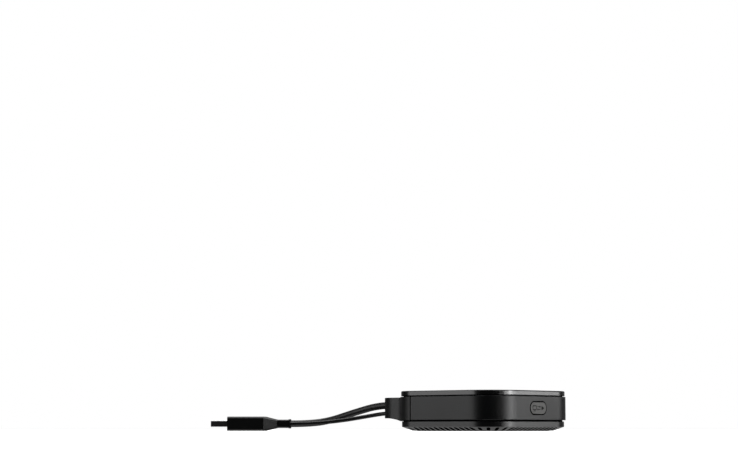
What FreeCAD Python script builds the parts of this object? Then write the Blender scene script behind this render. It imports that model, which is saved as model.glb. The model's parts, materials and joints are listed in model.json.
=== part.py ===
import FreeCAD, Part
import math
import os
from collections import namedtuple
from types import SimpleNamespace

import Sketcher
from FreeCAD import Placement, Rotation, Vector

# Wireless presentation dongle: a square puck with a large press button on top, a mode button in
# its front face, a vented underside, and two captive leads that leave a moulded boot at the back.
# Millimetres. The origin is the middle of the underside, +Z is up, the mode button faces -Y and
# the boot points along +Y.

# Driving dimensions
SIZES = {
    # puck, seen from above
    "body_side": 92.0,
    "corner_radius": 22.5,
    # heights from the floor up
    "pad_proud": 0.2,
    "skirt_rise": 2.6,
    "bottom_band": 3.6,
    "lower_seam": 0.85,
    "ring_height": 15.6,
    "upper_seam": 0.45,
    "top_band": 3.35,
    # bottom cover
    "skirt_inset": 1.3,
    "skirt_run": 6.9,
    "bottom_band_inset": 1.1,
    "band_edge": 0.35,
    "floor_wall": 1.8,
    "cavity_inset": 3.85,
    "cavity_rise": 2.4,
    "lip_height": 2.0,
    "lip_gap": 0.15,
    "neck_inset": 2.15,
    # vents in the skirt
    "vent_width": 2.35,
    "vent_outer_inset": 2.3,
    "vent_inner_inset": 7.9,
    # anti-slip pad
    "pad_inset": 11.0,
    "pad_thickness": 1.0,
    "pad_gap": 0.2,
    # ring of side walls
    "ring_wall": 2.4,
    "ring_edge": 0.3,
    "rear_seam": 20.75,
    "seam_gap": 0.9,
    # top cover
    "top_band_inset": 0.55,
    "top_wall": 1.6,
    "top_edge": 0.7,
    "opening_edge": 0.3,
    # press button on top and the ring of light round it
    "button_radius": 27.3,
    "button_gap": 0.3,
    "button_wall": 1.8,
    "button_edge": 0.5,
    "button_rim": 2.5,
    "button_dish": 0.45,
    "button_skirt": 2.6,
    "button_skirt_wall": 2.0,
    "stem_radius": 4.0,
    "stem_gap": 0.25,
    "light_ring_width": 1.4,
    "light_ring_gap": 0.1,
    "light_flange": 3.2,
    "light_flange_height": 2.85,
    "clip_thickness": 0.6,
    "clip_radius": 6.0,
    "clip_groove": 0.8,
    "spring_wire": 0.6,
    "spring_radius": 6.0,
    "spring_turns": 3.5,
    "spring_clearance": 0.02,
    # mode button in the front face
    "mode_width": 17.4,
    "mode_height": 8.1,
    "mode_gap": 0.35,
    "mode_proud": 0.2,
    "mode_edge": 0.4,
    "mode_flange": 0.95,
    "mode_flange_wall": 1.0,
    "mode_stem": 0.8,
    "mode_stem_radius": 2.2,
    # inner frame
    "frame_drop": 3.85,
    "frame_wall": 1.4,
    "frame_inset": 5.0,
    "frame_window": 22.0,
    "frame_beam": 8.0,
    "hub_radius": 7.5,
    "hub_drop": 3.8,
    "leg_inset": 19.0,
    "leg_radius": 3.2,
    "boss_inset": 9.5,
    "boss_side": 16.0,
    "boss_radius": 2.6,
    "notch_half": 10.0,
    # boards and what they carry
    "board_height": 9.0,
    "board_wall": 1.2,
    "board_inset": 5.6,
    "led_board_wall": 0.8,
    "led_board_width": 8.0,
    "led_length": 2.0,
    "led_width": 1.6,
    "led_height": 0.7,
    "switch_side": 12.0,
    "switch_height": 2.9,
    "switch_gap": 0.2,
    "switch_depth": 2.0,
    "plunger_radius": 1.8,
    "plunger_length": 2.2,
    "mode_switch_width": 7.0,
    "mode_switch_depth": 4.3,
    "mode_switch_height": 7.7,
    "switch_edge": 1.0,
    "stem_clearance": 1.1,
    "mode_switch_gap": 1.2,
    "processor_side": 16.0,
    "processor_height": 1.4,
    "spreader_height": 4.6,
    "spreader_wall": 1.0,
    "spreader_inset": 13.0,
    "spreader_corner": 5.0,
    "rib_place": 14.0,
    "rib_radius": 2.5,
    "pad_margin": 0.5,
    "can_wall": 0.3,
    "can_width": 22.0,
    "can_length": 28.0,
    "can_height": 2.8,
    "can_corner": 1.0,
    "can_inset": 17.4,
    "memory_width": 10.0,
    "memory_length": 9.0,
    "memory_height": 1.2,
    "memory_place": 6.0,
    "module_width": 18.0,
    "module_length": 22.0,
    "module_height": 2.6,
    "module_inset": 16.4,
    "module_y": 2.0,
    "antenna_width": 9.0,
    "antenna_wall": 1.0,
    "antenna_height": 6.8,
    "antenna_x": 25.0,
    "antenna_inset": 11.0,
    # screws
    "screw_radius": 1.25,
    "screw_gap": 0.1,
    "screw_head_radius": 2.4,
    "screw_head": 1.6,
    "screw_bite": 6.0,
    "screw_tip_gap": 0.5,
    "lid_screw_bite": 3.6,
    "lid_screw_hole": 4.2,
    "small_screw_radius": 0.9,
    "small_head_radius": 1.7,
    "small_head": 1.1,
    # rear cover and its boot
    "tongue_wall": 1.2,
    "tongue_reach": 6.0,
    "boot_half": 20.0,
    "boot_length": 34.0,
    "boot_nose": 18.0,
    "boot_flare": 16.0,
    "boot_root": 1.7,
    "boot_rise": 1.5,
    "boot_flare_run": 15.0,
    "boot_flare_foot": 9.5,
    "rear_dip": 0.6,
    # leads inside
    "hdmi_diameter": 4.9,
    "hdmi_drop": 4.9,
    "usb_diameter": 2.8,
    "usb_drop": 10.5,
    "lead_gap": 0.05,
    "lead_inner_inset": 9.5,
    "clamp_half": 9.0,
    "clamp_depth": 3.8,
    "clamp_screw_place": 6.6,
    "clamp_gap": 0.7,
    "clamp_drop": 1.35,
    "hdmi_header_width": 15.0,
    "hdmi_header_depth": 6.0,
    "hdmi_header_height": 3.0,
    "hdmi_header_gap": 8.0,
    "usb_header_width": 6.0,
    "usb_header_depth": 2.6,
    "usb_header_height": 3.2,
    "usb_header_gap": 2.4,
    "header_slot": 1.8,
    "ribbon_wall": 1.2,
    "hdmi_ribbon_width": 8.0,
    "hdmi_ribbon_bend": 4.0,
    "hdmi_ribbon_sag": 1.2,
    "hdmi_ribbon_landing": 6.7,
    "usb_ribbon_width": 4.0,
    # plugs, along their own axis from the lead
    "plug_lip": 0.9,
    "plug_lip_proud": 0.3,
    "plug_neck": 9.2,
    "plug_taper": 9.1,
    "plug_body": 25.8,
    "plug_shell": 12.0,
    "plug_socket": 2.0,
    "plug_edge": 0.9,
    "plug_socket_floor": 1.5,
    "contact_wall": 0.15,
    "neck_width": 8.4,
    "neck_thickness": 5.9,
    "neck_edge": 0.7,
    "usb_body_width": 17.0,
    "usb_body_thickness": 10.0,
    "usb_shell_width": 12.0,
    "usb_shell_thickness": 4.5,
    "usb_shell_corner": 0.6,
    "usb_tongue": 1.9,
    "usb_tongue_margin": 0.3,
    "usb_tongue_recess": 0.6,
    "usb_contact_width": 1.0,
    "usb_contact_inner": 1.0,
    "usb_contact_outer": 3.5,
    "usb_contact_recess": 0.8,
    "latch_width": 2.6,
    "latch_length": 2.2,
    "latch_x": 2.9,
    "latch_place": 5.5,
    "hdmi_body_width": 20.5,
    "hdmi_body_thickness": 10.2,
    "hdmi_shell_width": 13.9,
    "hdmi_shell_thickness": 4.45,
    "hdmi_shell_bevel": 1.5,
    "hdmi_slot": 1.5,
    "hdmi_slot_margin": 1.6,
    "hdmi_liner_recess": 0.8,
    "hdmi_contact_width": 0.36,
    "hdmi_contact_pitch": 0.5,
    "hdmi_contact_recess": 1.0,
    "shell_wall": 0.35,
    "usb_plug_turn": 37.0,
    "hdmi_plug_turn": 40.0,
}

VENTS_PER_SIDE = 12
VENTS_PER_CORNER = 4
LEDS = 12
HDMI_CONTACTS = 19
# Shares of a screw's radius in the slot of its head
DRIVE_LENGTH = 0.8
DRIVE_WIDTH = 0.25
DRIVE_CORNER = 0.2
# Share of the stem's groove that the clip's mouth is open by
CLIP_MOUTH = 0.8
# Share of the shorter run that a lead's arc takes at a corner
ARC_SHARE = 0.45
# What the leg of a 45 degree bevel loses when its outline is drawn in by one
BEVEL_LOSS = 2 - math.sqrt(2)


class Size(float):
    """A length with the formula on the sheet that gives it."""

    def __new__(cls, value, formula):
        size = super().__new__(cls, value)
        size.formula = formula
        return size

    def __add__(self, other):
        return Size(float(self) + float(other), f"({self.formula} + {formula(other)})")

    def __sub__(self, other):
        return Size(float(self) - float(other), f"({self.formula} - {formula(other)})")

    def __rsub__(self, other):
        return Size(float(other) - float(self), f"({formula(other)} - {self.formula})")

    def __mul__(self, other):
        return Size(float(self) * float(other), f"({self.formula} * {formula(other)})")

    def __truediv__(self, other):
        return Size(float(self) / float(other), f"({self.formula} / {formula(other)})")

    def __neg__(self):
        return Size(-float(self), f"(-{self.formula})")

    __radd__ = __add__
    __rmul__ = __mul__


def formula(number):
    return number.formula if isinstance(number, Size) else f"({float(number)!r})"


def root(number):
    """Square root."""
    return Size(math.sqrt(number), f"sqrt({formula(number)})")


def slope(run, rise):
    """Angle from the vertical, in degrees, of a wall that leans by run over rise."""
    return Size(math.degrees(math.atan(run / rise)), f"atan({formula(run)} / {formula(rise)})")


doc = FreeCAD.newDocument("presentation_dongle")
sheet = doc.addObject("Spreadsheet::Sheet", "Sizes")
size = SimpleNamespace()
for row, (name, value) in enumerate(SIZES.items(), 1):
    sheet.set(f"A{row}", name)
    sheet.set(f"B{row}", str(value))
    sheet.setAlias(f"B{row}", name)
    setattr(size, name, Size(value, f"Sizes.{name}"))
doc.recompute()

# Plan sizes that follow from the driving dimensions
half = size.body_side / 2
corner_centre = half - size.corner_radius
inner_face = half - size.ring_wall
lip_inset = size.ring_wall + size.lip_gap
light_inner = size.button_radius + size.button_gap
light_outer = light_inner + size.light_ring_width
flange_outer = light_outer + size.light_flange
cover_opening = light_outer + size.light_ring_gap
stem_bore = size.stem_radius + size.stem_gap
seam = half - size.rear_seam
boot_end = half + size.boot_length
lead_inner_end = half - size.lead_inner_inset
can_x = size.can_inset + size.board_inset - half
module_x = half - size.board_inset - size.module_inset

# Heights that follow
underside = size.pad_proud
pad_top = size.pad_thickness
floor_top = underside + size.floor_wall
skirt_top = underside + size.skirt_rise
cavity_top = floor_top + size.cavity_rise
band_top = skirt_top + size.bottom_band
ring_bottom = band_top + size.lower_seam
ring_top = ring_bottom + size.ring_height
lip_top = ring_bottom + size.lip_height
top_lip_bottom = ring_top - size.lip_height
cover_bottom = ring_top + size.upper_seam
height = cover_bottom + size.top_band
top_plate = height - size.top_wall
button_bottom = height - size.button_wall
board_top = size.board_height + size.board_wall
frame_bottom = ring_top - size.frame_drop
frame_top = frame_bottom + size.frame_wall
hub_bottom = frame_bottom - size.hub_drop
screw_seat = pad_top + size.screw_head + size.screw_gap * 2
spreader_top = size.spreader_height + size.spreader_wall
processor_bottom = size.board_height - size.processor_height
switch_top = board_top + size.switch_height
stem_bottom = switch_top + size.stem_clearance
mode_centre = ring_bottom + size.ring_height / 2
hdmi_exit = ring_top - size.hdmi_drop
usb_exit = ring_top - size.usb_drop
usb_plug_height = size.usb_body_thickness / 2
hdmi_plug_height = size.hdmi_body_thickness / 2

# Points that each lead follows, from the end of the boot to its plug
usb_route = [
    (0.0, boot_end, usb_exit),
    (0.0, boot_end + 7.0, usb_exit),
    (-4.0, boot_end + 18.0, 10.6),
    (-16.2, boot_end + 33.5, 7.2),
    (-29.8, boot_end + 51.8, usb_plug_height),
    (-38.2, boot_end + 63.0, usb_plug_height),
]
hdmi_route = [
    (0.0, boot_end, hdmi_exit),
    (0.0, boot_end + 13.0, hdmi_exit),
    (-1.8, boot_end + 34.0, 13.2),
    (-7.5, boot_end + 54.0, 7.0),
    (-15.2, boot_end + 68.5, hdmi_plug_height),
    (-22.9, boot_end + 77.7, hdmi_plug_height),
]

Circle = namedtuple("Circle", "x y radius")


def bind(thing, name, value):
    """Set a property, tied to the sheet where the value comes from it."""
    setattr(thing, name, float(value))
    if isinstance(value, Size):
        thing.setExpression(name, value.formula)


def fix(rules, kind, *places, value):
    """Note a constraint and its value."""
    rules.append((Sketcher.Constraint(kind, *places, float(value)), value))


def hold(rules, piece, point, x, y):
    """Note that a point of the sketch is held at x, y."""
    fix(rules, "DistanceX", -1, 1, piece, point, value=x)
    fix(rules, "DistanceY", -1, 1, piece, point, value=y)


def segment(start, end):
    """A line from start to end or, where start has a radius, an arc that turns left.

    A negative radius turns right. The sketch keeps every arc anticlockwise, so that one is
    stored from its end to its start.
    """
    a = Vector(start[0], start[1], 0)
    b = Vector(end[0], end[1], 0)
    if len(start) == 2:
        return Part.LineSegment(a, b)
    radius = abs(start[2])
    chord = b - a
    away = math.sqrt(max(radius ** 2 - (chord.Length / 2) ** 2, 0))
    left = Vector(-chord.y, chord.x, 0).normalize()
    turn = 1 if start[2] > 0 else -1
    centre = (a + b) / 2 + left * away * turn
    first, last = (a, b) if turn > 0 else (b, a)
    angles = [math.atan2(p.y - centre.y, p.x - centre.x) for p in (first, last)]
    return Part.ArcOfCircle(Part.Circle(centre, Vector(0, 0, 1), radius), *angles)


def draw(sketch, outline, rules):
    """Draw a circle, or a closed outline whose corners are all held at their places."""
    if isinstance(outline, Circle):
        circle = Part.Circle(Vector(outline.x, outline.y, 0), Vector(0, 0, 1), outline.radius)
        piece = sketch.addGeometry(circle)
        hold(rules, piece, 3, outline.x, outline.y)
        fix(rules, "Radius", piece, value=outline.radius)
        return
    first = sketch.GeometryCount
    count = len(outline)
    sketch.addGeometry([segment(outline[i], outline[(i + 1) % count]) for i in range(count)])
    ends = [(2, 1) if len(point) == 3 and point[2] < 0 else (1, 2) for point in outline]
    for i in range(count):
        after = (i + 1) % count
        joint = Sketcher.Constraint("Coincident", first + i, ends[i][1], first + after, ends[after][0])
        rules.append((joint, None))
        hold(rules, first + i, ends[i][0], outline[i][0], outline[i][1])
        if len(outline[i]) == 3:
            radius = outline[i][2]
            fix(rules, "Radius", first + i, value=-radius if radius < 0 else radius)


def rounded(half_x, half_y, radius, x=0.0, y=0.0):
    """Rectangle with rounded corners about x, y."""
    flat_x = half_x - radius
    flat_y = half_y - radius
    return [
        (x - flat_x, y - half_y),
        (x + flat_x, y - half_y, radius),
        (x + half_x, y - flat_y),
        (x + half_x, y + flat_y, radius),
        (x + flat_x, y + half_y),
        (x - flat_x, y + half_y, radius),
        (x - half_x, y + flat_y),
        (x - half_x, y - flat_y, radius),
    ]


def rectangle(low_x, high_x, low_y, high_y):
    return [(low_x, low_y), (high_x, low_y), (high_x, high_y), (low_x, high_y)]


def centred(half_x, half_y, x=0.0, y=0.0):
    return rectangle(x - half_x, x + half_x, y - half_y, y + half_y)


def square(inset):
    """The puck's rounded square, drawn in by inset with its corners about the same centres."""
    return rounded(half - inset, half - inset, size.corner_radius - inset)


def obround(half_length, half_width, x=0.0, y=0.0, turn=0.0):
    """A slot with round ends, half_length from its middle to its tips, turned by degrees."""
    flat = half_length - half_width
    along = (math.cos(math.radians(turn)), math.sin(math.radians(turn)))
    corners = [
        (-flat, -half_width),
        (flat, -half_width, half_width),
        (half_length, 0.0, half_width),
        (flat, half_width),
        (-flat, half_width, half_width),
        (-half_length, 0.0, half_width),
    ]
    placed = []
    for p, q, *radius in corners:
        across = (x + p * along[0] - q * along[1], y + p * along[1] + q * along[0])
        placed.append((*across, *radius))
    return placed


def bevelled(half_x, half_y, edge):
    """Rectangle with its corners cut off at 45 degrees."""
    return [
        (-half_x + edge, -half_y),
        (half_x - edge, -half_y),
        (half_x, -half_y + edge),
        (half_x, half_y - edge),
        (half_x - edge, half_y),
        (-half_x + edge, half_y),
        (-half_x, half_y - edge),
        (-half_x, -half_y + edge),
    ]


def new_body(label):
    body = doc.addObject("PartDesign::Body", label)
    body.Label = label
    return body


def new_sketch(body, outlines, start, plane="XY_Plane"):
    """Sketch on one of the body's own planes, moved by start along the plane's normal."""
    sketch = body.newObject("Sketcher::SketchObject", "Sketch")
    support = next(item for item in body.Origin.OriginFeatures if item.Role == plane)
    sketch.AttachmentSupport = [(support, "")]
    sketch.MapMode = "FlatFace"
    sketch.AttachmentOffset = Placement(Vector(0, 0, float(start)), Rotation())
    if isinstance(start, Size):
        sketch.setExpression("AttachmentOffset.Base.z", start.formula)
    rules = []
    for outline in outlines:
        draw(sketch, outline, rules)
    sketch.addConstraint([rule for rule, _ in rules])
    for index, (_, value) in enumerate(rules):
        if isinstance(value, Size):
            sketch.setExpression(f"Constraints[{index}]", value.formula)
    return sketch


def extrude(body, outlines, start, end, plane="XY_Plane", cut=False, taper=0.0):
    """Add, or cut away, what lies inside the outlines from start to end."""
    sketch = new_sketch(body, outlines, start, plane)
    feature = body.newObject("PartDesign::Pocket" if cut else "PartDesign::Pad", "Extrude")
    feature.Profile = sketch
    feature.Reversed = cut
    bind(feature, "Length", end - start)
    bind(feature, "TaperAngle", taper)
    return feature


def revolve(body, outline, plane="XZ_Plane"):
    """Turn an outline once round the vertical axis of its plane."""
    sketch = new_sketch(body, [outline], 0.0, plane)
    feature = body.newObject("PartDesign::Revolution", "Revolve")
    feature.Profile = sketch
    feature.ReferenceAxis = (sketch, ["V_Axis"])
    feature.Angle = 360.0
    return feature


def dress(body, kind, radius, choose):
    """Round ("Fillet") or bevel ("Chamfer") the edges of the tip that choose picks."""
    doc.recompute()
    base = body.Tip
    edges = base.Shape.Edges
    names = [f"Edge{i}" for i, edge in enumerate(edges, 1) if choose(edge)]
    feature = body.newObject(f"PartDesign::{kind}", kind)
    feature.Base = (base, names)
    bind(feature, "Radius" if kind == "Fillet" else "Size", radius)
    return feature


def axis_of(body, role):
    return (next(item for item in body.Origin.OriginFeatures if item.Role == role), [""])


def repeat(body, feature, turns, along=1, length=0.0):
    """Repeat a feature in a row along X, and that row at even steps round the Z axis."""
    steps = []
    if along > 1:
        row = body.newObject("PartDesign::LinearPattern", "Row")
        row.Direction = axis_of(body, "X_Axis")
        bind(row, "Length", length)
        row.Occurrences = along
        steps.append(row)
    around = body.newObject("PartDesign::PolarPattern", "Round")
    around.Axis = axis_of(body, "Z_Axis")
    around.Angle = 360.0
    around.Occurrences = turns
    steps.append(around)
    pattern = body.newObject("PartDesign::MultiTransform", "Repeat")
    pattern.Originals = [feature]
    pattern.Transformations = steps
    body.Tip = pattern


def near(value, target):
    return abs(value - target) < 0.01


def four(place_x, place_y):
    return [(x, y) for x in (-place_x, place_x) for y in (-place_y, place_y)]


def plan_inset(point):
    """How far inside the puck's widest outline a point lies."""
    side = max(abs(point.x) - corner_centre, 0)
    end = max(abs(point.y) - corner_centre, 0)
    return size.corner_radius - math.hypot(side, end)


def middle(edge):
    return edge.valueAt((edge.FirstParameter + edge.LastParameter) / 2)


def level(edge, height_of_edge):
    """Whether an edge lies flat at a height."""
    return near(edge.BoundBox.ZMin, height_of_edge) and near(edge.BoundBox.ZMax, height_of_edge)


leg_spots = four(half - size.leg_inset, half - size.leg_inset)
boss_spots = four(half - size.boss_inset, size.boss_side)
screw_hole = size.screw_radius + size.screw_gap
small_hole = size.small_screw_radius + size.screw_gap
beyond = 1.0


def circles(spots, radius):
    return [Circle(x, y, radius) for x, y in spots]


# Lower housing
def bottom_cover():
    """Shallow tray whose sloping skirt is cut by a row of vents all the way round."""
    body = new_body("bottom_cover")
    lean = slope(size.skirt_run, size.skirt_rise)
    foot = size.skirt_inset + size.skirt_run
    extrude(body, [square(foot)], underside, skirt_top, taper=lean)
    extrude(body, [square(size.bottom_band_inset)], skirt_top, band_top)
    dress(body, "Fillet", size.band_edge, lambda edge: level(edge, band_top))
    extrude(body, [square(size.neck_inset)], band_top, ring_bottom)
    extrude(body, [square(lip_inset)], ring_bottom, lip_top)
    cavity_foot = size.cavity_inset + size.cavity_rise * size.skirt_run / size.skirt_rise
    extrude(body, [square(cavity_foot)], floor_top, cavity_top, cut=True, taper=lean)
    extrude(body, [square(size.cavity_inset)], cavity_top, lip_top, cut=True)
    extrude(body, circles(leg_spots, size.leg_radius), floor_top, size.board_height)
    ribs = four(size.rib_place, size.rib_place)
    extrude(body, circles(ribs, size.rib_radius), floor_top, size.spreader_height)
    pad_half = half - size.pad_inset + size.pad_gap
    pad_corner = size.corner_radius - size.pad_inset + size.pad_gap
    extrude(body, [rounded(pad_half, pad_half, pad_corner)], underside, pad_top, cut=True)
    head_hole = size.screw_head_radius + size.screw_gap
    extrude(body, circles(leg_spots, head_hole), pad_top, screw_seat, cut=True)
    extrude(body, circles(leg_spots, screw_hole), screw_seat, size.board_height, cut=True)

    reach = (size.vent_inner_inset - size.vent_outer_inset) / 2
    depth = (size.vent_inner_inset + size.vent_outer_inset) / 2
    width = size.vent_width / 2
    row = corner_centre * 2
    side_vent = obround(reach, width, -row / 2, depth - half, 90.0)
    first = extrude(body, [side_vent], 0.0, cavity_top, cut=True)
    repeat(body, first, 4, VENTS_PER_SIDE, row)
    corner_vents = []
    for i in range(VENTS_PER_CORNER):
        turn = 90.0 * (i + 1) / (VENTS_PER_CORNER + 1) - 90.0
        out = size.corner_radius - depth
        x = corner_centre + out * math.cos(math.radians(turn))
        y = out * math.sin(math.radians(turn)) - corner_centre
        corner_vents.append(obround(reach, width, x, y, turn))
    first = extrude(body, corner_vents, 0.0, cavity_top, cut=True)
    repeat(body, first, 4)
    return body


def anti_slip_pad():
    """Rubber pad in the recess of the bottom cover, which hides the screws."""
    body = new_body("anti_slip_pad")
    pad_half = half - size.pad_inset
    pad_corner = size.corner_radius - size.pad_inset
    extrude(body, [rounded(pad_half, pad_half, pad_corner)], 0.0, pad_top)
    dress(body, "Chamfer", size.pad_gap, lambda edge: level(edge, 0.0))
    return body


def screws(label, spots, seat, tip, radius, head_radius, head):
    """Screws with their heads below the seat and their tips above it."""
    body = new_body(label)
    extrude(body, circles(spots, head_radius), seat - head, seat)
    extrude(body, circles(spots, radius), seat, tip)
    recess = [rounded(radius * DRIVE_LENGTH, radius * DRIVE_WIDTH, radius * DRIVE_CORNER, x, y)
              for x, y in spots]
    extrude(body, recess, seat - head, seat - head / 2, cut=True)
    return body


# Side walls
def side_ring():
    """Left, front and right walls in one band, with the hole for the mode button."""
    body = new_body("side_ring")
    extrude(body, [square(0.0), square(size.ring_wall)], ring_bottom, ring_top)
    outer = half + beyond
    extrude(body, [rectangle(-outer, outer, seam - size.seam_gap / 2, outer)],
            ring_bottom, ring_top, cut=True)
    dress(body, "Fillet", size.ring_edge, lambda edge: plan_inset(middle(edge)) < 0.01
          and (level(edge, ring_bottom) or level(edge, ring_top)))
    hole = obround(size.mode_width / 2 + size.mode_gap, size.mode_height / 2 + size.mode_gap,
                   0.0, mode_centre)
    extrude(body, [hole], inner_face - beyond, half + beyond, "XZ_Plane", cut=True)
    return body


def rear_wall(inset, wall, start):
    """The rear stretch of a wall round the puck, from start on one side to start on the other."""
    outer = half - inset
    inner = outer - wall
    outer_radius = size.corner_radius - inset
    inner_radius = outer_radius - wall
    return [
        (outer, start),
        (outer, corner_centre, outer_radius),
        (corner_centre, outer),
        (-corner_centre, outer, outer_radius),
        (-outer, corner_centre),
        (-outer, start),
        (-inner, start),
        (-inner, corner_centre, -inner_radius),
        (-corner_centre, inner),
        (corner_centre, inner, -inner_radius),
        (inner, corner_centre),
        (inner, start),
    ]


def boot_outline():
    """The boot from above: a blunt round nose whose sides flare into the puck's rear corners."""
    reach = size.corner_radius + size.boot_flare
    offset = size.boot_half + size.boot_flare - corner_centre
    rise = root(reach * reach - offset * offset)
    flare_y = corner_centre + rise
    share = size.corner_radius / reach
    foot_x = corner_centre + offset * share
    foot_y = corner_centre + rise * share
    nose_y = boot_end - size.boot_nose
    nose_x = size.boot_half - size.boot_nose
    inside = half - size.boot_root
    return [
        (foot_x, foot_y, -size.boot_flare),
        (size.boot_half, flare_y),
        (size.boot_half, nose_y, size.boot_nose),
        (nose_x, boot_end),
        (-nose_x, boot_end, size.boot_nose),
        (-size.boot_half, nose_y),
        (-size.boot_half, flare_y, -size.boot_flare),
        (-foot_x, foot_y),
        (-foot_x + size.ring_wall, inside),
        (foot_x - size.ring_wall, inside),
    ]


def rear_cover():
    """Rear wall with both rear corners, moulded in one with the boot that holds the leads.

    Its lower edge dips from the seams to the rear, and rises again under the boot.
    """
    body = new_body("rear_cover")
    tongue_bottom = lip_top + size.lip_gap
    tongue_top = top_lip_bottom - size.lip_gap
    tongue_inset = size.ring_wall + size.lip_gap
    rear_bottom = ring_bottom - size.rear_dip
    extrude(body, [square(0.0), square(size.ring_wall)], ring_bottom, ring_top)
    extrude(body, [square(0.0), square(size.neck_inset - size.lip_gap)], rear_bottom, ring_bottom)
    web = [square(size.ring_wall - size.lip_gap), square(tongue_inset + size.lip_gap)]
    extrude(body, web, tongue_bottom, tongue_top)
    outer = half + beyond
    edge_y = seam + size.seam_gap / 2
    extrude(body, [rectangle(-outer, outer, -outer, edge_y)], rear_bottom, ring_top, cut=True)
    tongue = rear_wall(tongue_inset, size.tongue_wall, seam - size.tongue_reach)
    extrude(body, [tongue], tongue_bottom, tongue_top)
    extrude(body, [boot_outline()], rear_bottom, ring_top)

    boot_bottom = ring_bottom + size.boot_rise
    foot = half + size.boot_flare_foot
    run = size.boot_flare_run
    rise = size.boot_rise + size.rear_dip
    curve = (run * run + rise * rise) / (rise * 2)
    below = [
        (edge_y - beyond, rear_bottom - beyond),
        (boot_end + beyond, rear_bottom - beyond),
        (boot_end + beyond, boot_bottom),
        (foot + run, boot_bottom, curve),
        (foot, rear_bottom),
        (half, rear_bottom),
        (edge_y, ring_bottom),
        (edge_y - beyond, ring_bottom),
    ]
    width = half + beyond
    extrude(body, [below], -width, width, "YZ_Plane", cut=True)
    dress(body, "Fillet", size.ring_edge, lambda edge: level(edge, ring_top)
          and (plan_inset(middle(edge)) < 0.01 or middle(edge).y > half))
    inside = half - size.clamp_depth - size.ring_wall
    for exit_height, diameter in ((hdmi_exit, size.hdmi_diameter), (usb_exit, size.usb_diameter)):
        bore = Circle(0.0, exit_height, diameter / 2 + size.lead_gap)
        extrude(body, [bore], -boot_end - beyond, -inside, "XZ_Plane", cut=True)
    return body


# Top of the housing
def top_cover():
    """Lid with a round opening for the press button and its ring of light."""
    body = new_body("top_cover")
    extrude(body, [square(size.top_band_inset)], cover_bottom, height)
    dress(body, "Fillet", size.top_edge, lambda edge: level(edge, height))
    dress(body, "Fillet", size.band_edge, lambda edge: level(edge, cover_bottom))
    extrude(body, [square(size.neck_inset)], ring_top, cover_bottom)
    extrude(body, [square(lip_inset)], top_lip_bottom, ring_top)
    extrude(body, [square(size.cavity_inset)], top_lip_bottom, top_plate, cut=True)
    extrude(body, [Circle(0.0, 0.0, cover_opening)], top_plate, height, cut=True)
    extrude(body, circles(boss_spots, size.boss_radius), frame_top, top_plate)
    extrude(body, circles(boss_spots, small_hole), frame_top, frame_top + size.lid_screw_hole, cut=True)
    dress(body, "Chamfer", size.opening_edge, lambda edge: level(edge, height)
          and middle(edge).Length < math.hypot(cover_opening, height) + 0.01)
    return body


def light_ring():
    """Clear ring between the lid and the button, with a flange that gathers the light."""
    body = new_body("light_ring")
    bottom = top_plate - size.light_flange_height
    outline = [
        (light_inner, bottom),
        (flange_outer, bottom),
        (flange_outer, top_plate),
        (light_outer, top_plate),
        (light_outer, height),
        (light_inner, height),
    ]
    revolve(body, outline)
    return body


def present_button():
    """Round, slightly dished button on a stem that runs in the frame's hub."""
    body = new_body("present_button")
    clip_top = hub_bottom - size.screw_gap
    clip_bottom = clip_top - size.clip_thickness
    groove = size.stem_radius - size.clip_groove
    skirt_bottom = button_bottom - size.button_skirt
    skirt_inner = size.button_radius - size.button_skirt_wall
    dish_radius = size.button_radius - size.button_rim
    dish = (dish_radius * dish_radius + size.button_dish * size.button_dish) / (size.button_dish * 2)
    outline = [
        (0.0, stem_bottom),
        (size.stem_radius, stem_bottom),
        (size.stem_radius, clip_bottom),
        (groove, clip_bottom),
        (groove, clip_top),
        (size.stem_radius, clip_top),
        (size.stem_radius, button_bottom),
        (skirt_inner, button_bottom),
        (skirt_inner, skirt_bottom),
        (size.button_radius, skirt_bottom),
        (size.button_radius, height - size.button_edge, size.button_edge),
        (size.button_radius - size.button_edge, height),
        (dish_radius, height, -dish),
        (0.0, height - size.button_dish),
    ]
    revolve(body, outline)
    return body


def retaining_clip():
    """Open clip in the stem's groove, which stops the button from lifting out of the hub."""
    body = new_body("retaining_clip")
    top = hub_bottom - size.screw_gap
    groove = size.stem_radius - size.clip_groove
    ring = [Circle(0.0, 0.0, size.clip_radius), Circle(0.0, 0.0, groove)]
    extrude(body, ring, top - size.clip_thickness, top)
    gape = groove * CLIP_MOUTH
    mouth = rectangle(0.0, size.clip_radius + beyond, -gape, gape)
    extrude(body, [mouth], top - size.clip_thickness, top, cut=True)
    return body


def return_spring():
    """Coil between the frame's hub and the underside of the button."""
    wire = size.spring_wire / 2
    bottom = frame_top + wire + size.spring_clearance
    rise = button_bottom - wire - size.spring_clearance - bottom
    path = Part.makeHelix(rise / size.spring_turns, rise, size.spring_radius)
    path.translate(Vector(0, 0, bottom))
    section = Part.Wire(Part.makeCircle(wire, Vector(size.spring_radius, 0, bottom), Vector(0, 1, 0)))
    feature = doc.addObject("Part::Feature", "return_spring")
    feature.Label = "return_spring"
    feature.Shape = Part.Wire(path.Edges).makePipeShell([section], True, True)
    return feature


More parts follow.
